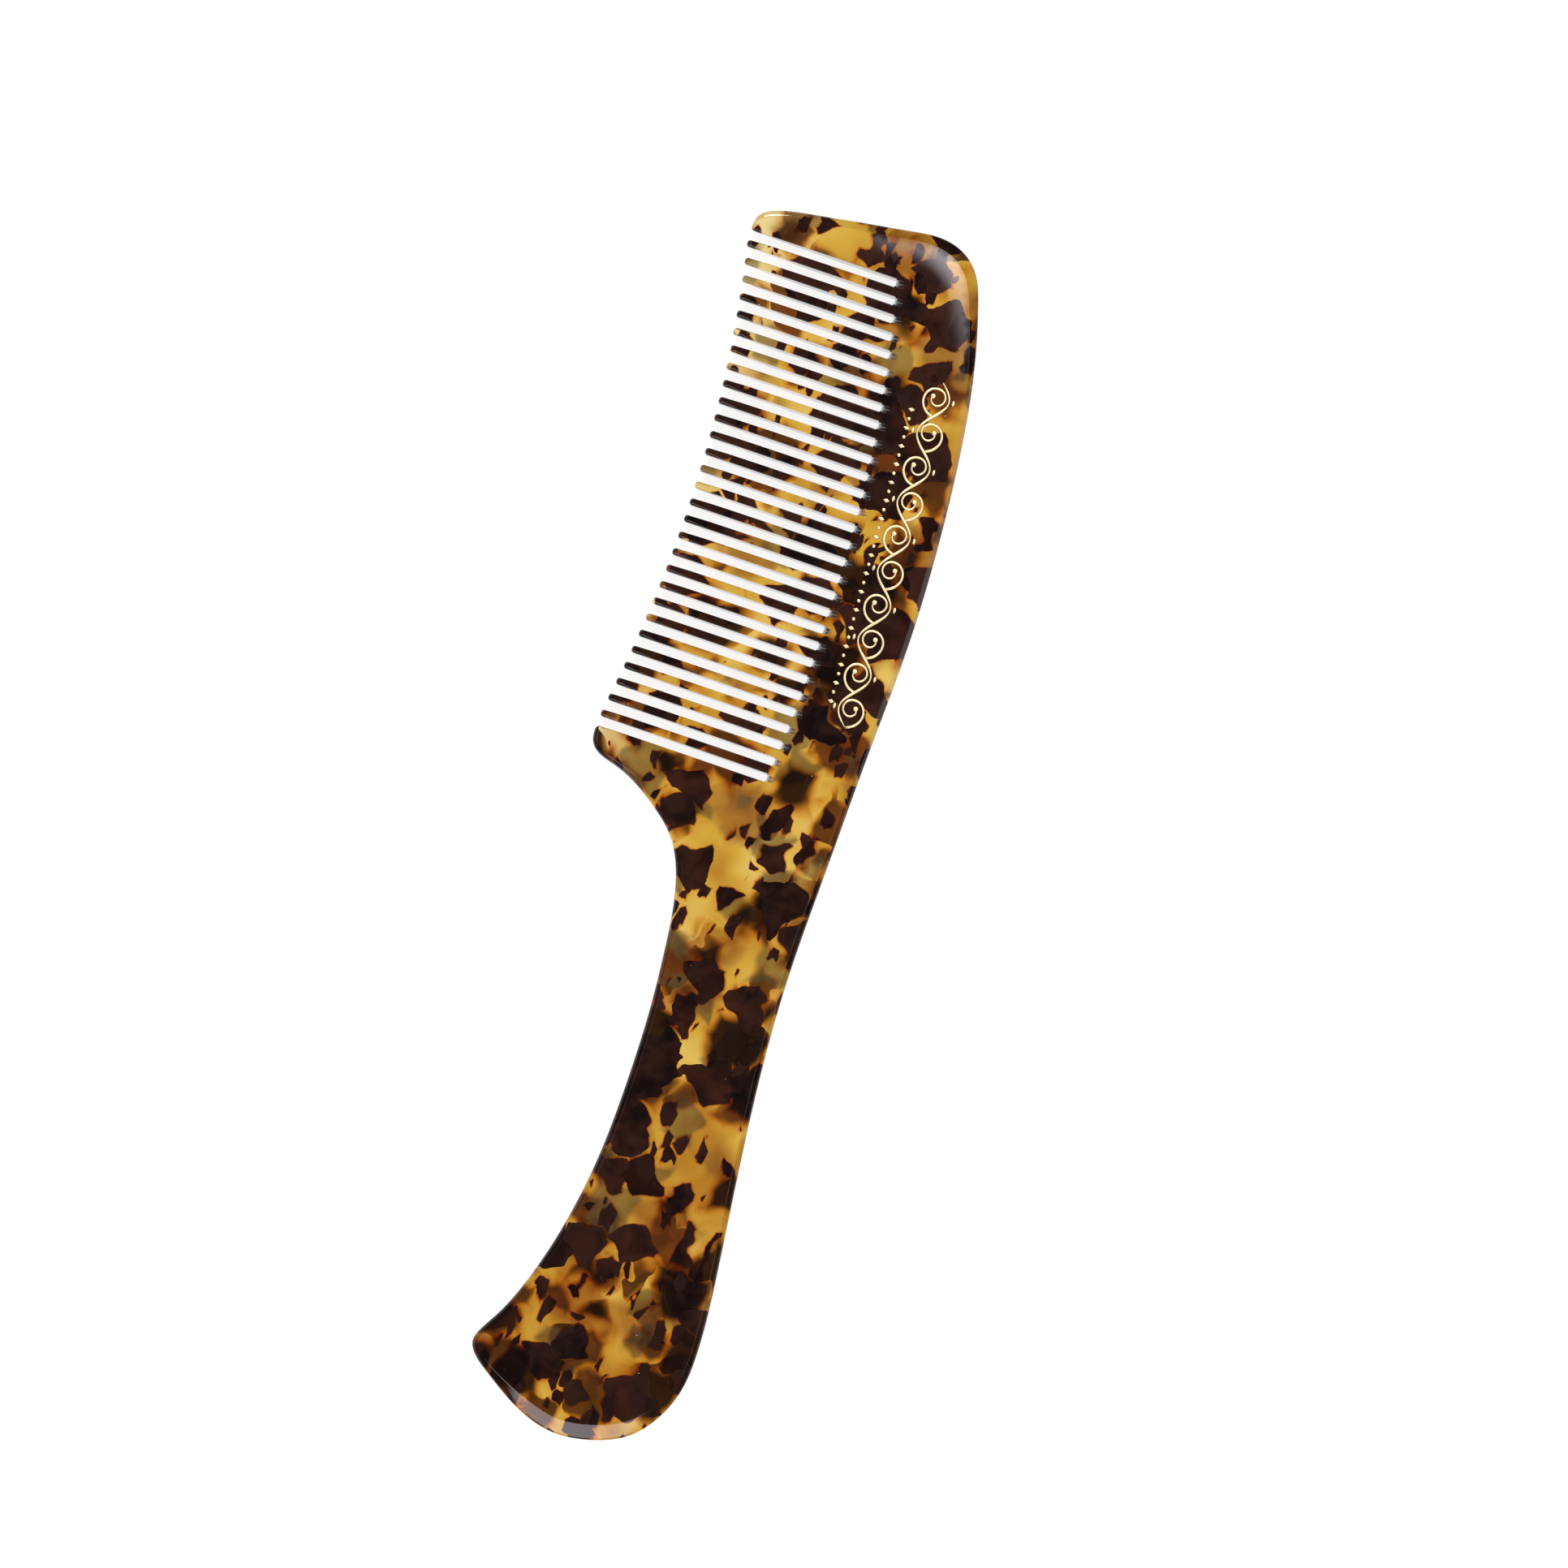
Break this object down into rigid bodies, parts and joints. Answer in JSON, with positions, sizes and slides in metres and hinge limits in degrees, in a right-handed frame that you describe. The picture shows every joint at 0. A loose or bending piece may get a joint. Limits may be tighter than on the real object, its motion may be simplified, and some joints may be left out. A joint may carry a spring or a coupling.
{
  "type": "hair comb",
  "caption": "Handled detangling comb sawn from mottled tortoiseshell acetate, with a gilt vine ornament on the spine.",
  "frame": {"origin": "middle of the comb's plan outline, on the flat back face that it lies on", "axes": "+X along the comb from the toe of the tooth row to the butt of the handle, -Y the way the teeth point, +Z out of the front face that carries the gilt ornament"},
  "size_m": [0.2101, 0.0531, 0.0049],
  "materials": {
    "acetate": "tortoiseshell cellulose acetate, hand polished to a high gloss",
    "gilt": "pale gold stamping foil"
  },
  "bodies": {
    "root": {"spine": "acetate", "handle": "acetate", "toe_guard": "acetate", "heel_guard": "acetate", "tooth_01": "acetate", "tooth_02": "acetate", "tooth_03": "acetate", "tooth_04": "acetate", "tooth_05": "acetate", "tooth_06": "acetate", "tooth_07": "acetate", "tooth_08": "acetate", "tooth_09": "acetate", "tooth_10": "acetate", "tooth_11": "acetate", "tooth_12": "acetate", "tooth_13": "acetate", "tooth_14": "acetate", "tooth_15": "acetate", "tooth_16": "acetate", "tooth_17": "acetate", "tooth_18": "acetate", "tooth_19": "acetate", "tooth_20": "acetate", "tooth_21": "acetate", "tooth_22": "acetate", "tooth_23": "acetate", "tooth_24": "acetate", "tooth_25": "acetate", "tooth_26": "acetate", "tooth_27": "acetate", "tooth_28": "acetate", "tooth_29": "acetate", "gilt_vine": "gilt", "gilt_beads": "gilt"}
  },
  "joints": []
}
